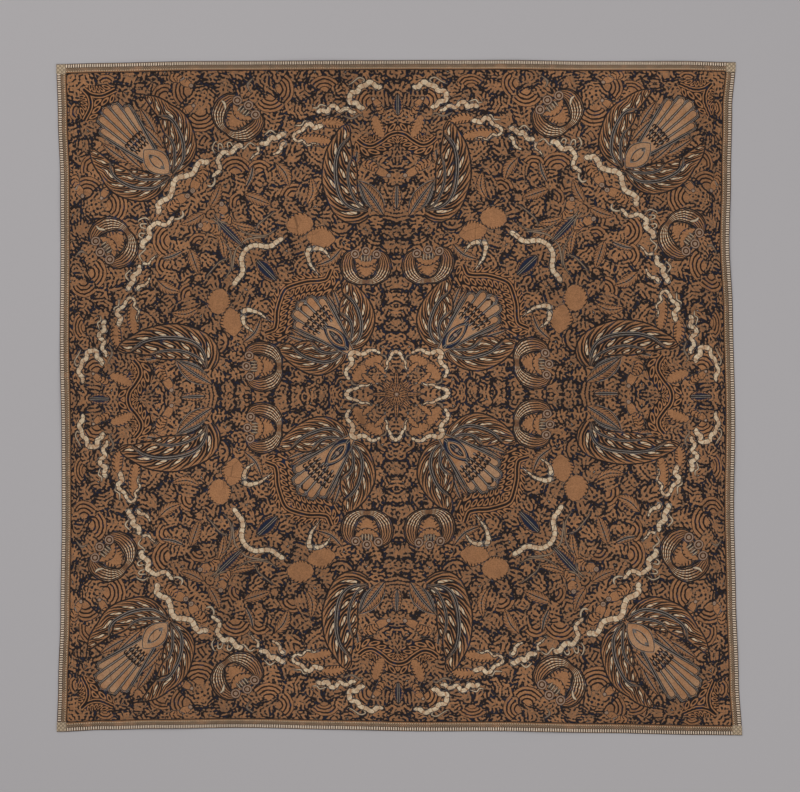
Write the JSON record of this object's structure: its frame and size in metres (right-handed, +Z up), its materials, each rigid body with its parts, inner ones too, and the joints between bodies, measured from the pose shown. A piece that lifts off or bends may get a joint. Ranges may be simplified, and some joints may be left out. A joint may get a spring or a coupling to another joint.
{
  "type": "batik head cloth",
  "caption": "Nearly square cotton batik head cloth spread flat, with narrow turned-over hems along its four edges.",
  "frame": {"origin": "on the surface that the cloth lies on, under the middle of its outline", "axes": "+Z up from the surface, +Y towards the top edge of the design, +X to the right"},
  "size_m": [1.065, 1.0488, 0.0047],
  "materials": {
    "batik_field": "matt plain-woven cotton, wax-resist dyed in soga brown and indigo on cream",
    "batik_hem": "matt plain-woven cotton, pale ticks and a brown band on tan, sewn with cotton thread"
  },
  "bodies": {
    "root": {"cloth_field": "batik_field", "hem_bottom": "batik_hem", "hem_top": "batik_hem", "hem_left": "batik_hem", "hem_right": "batik_hem"}
  },
  "joints": []
}
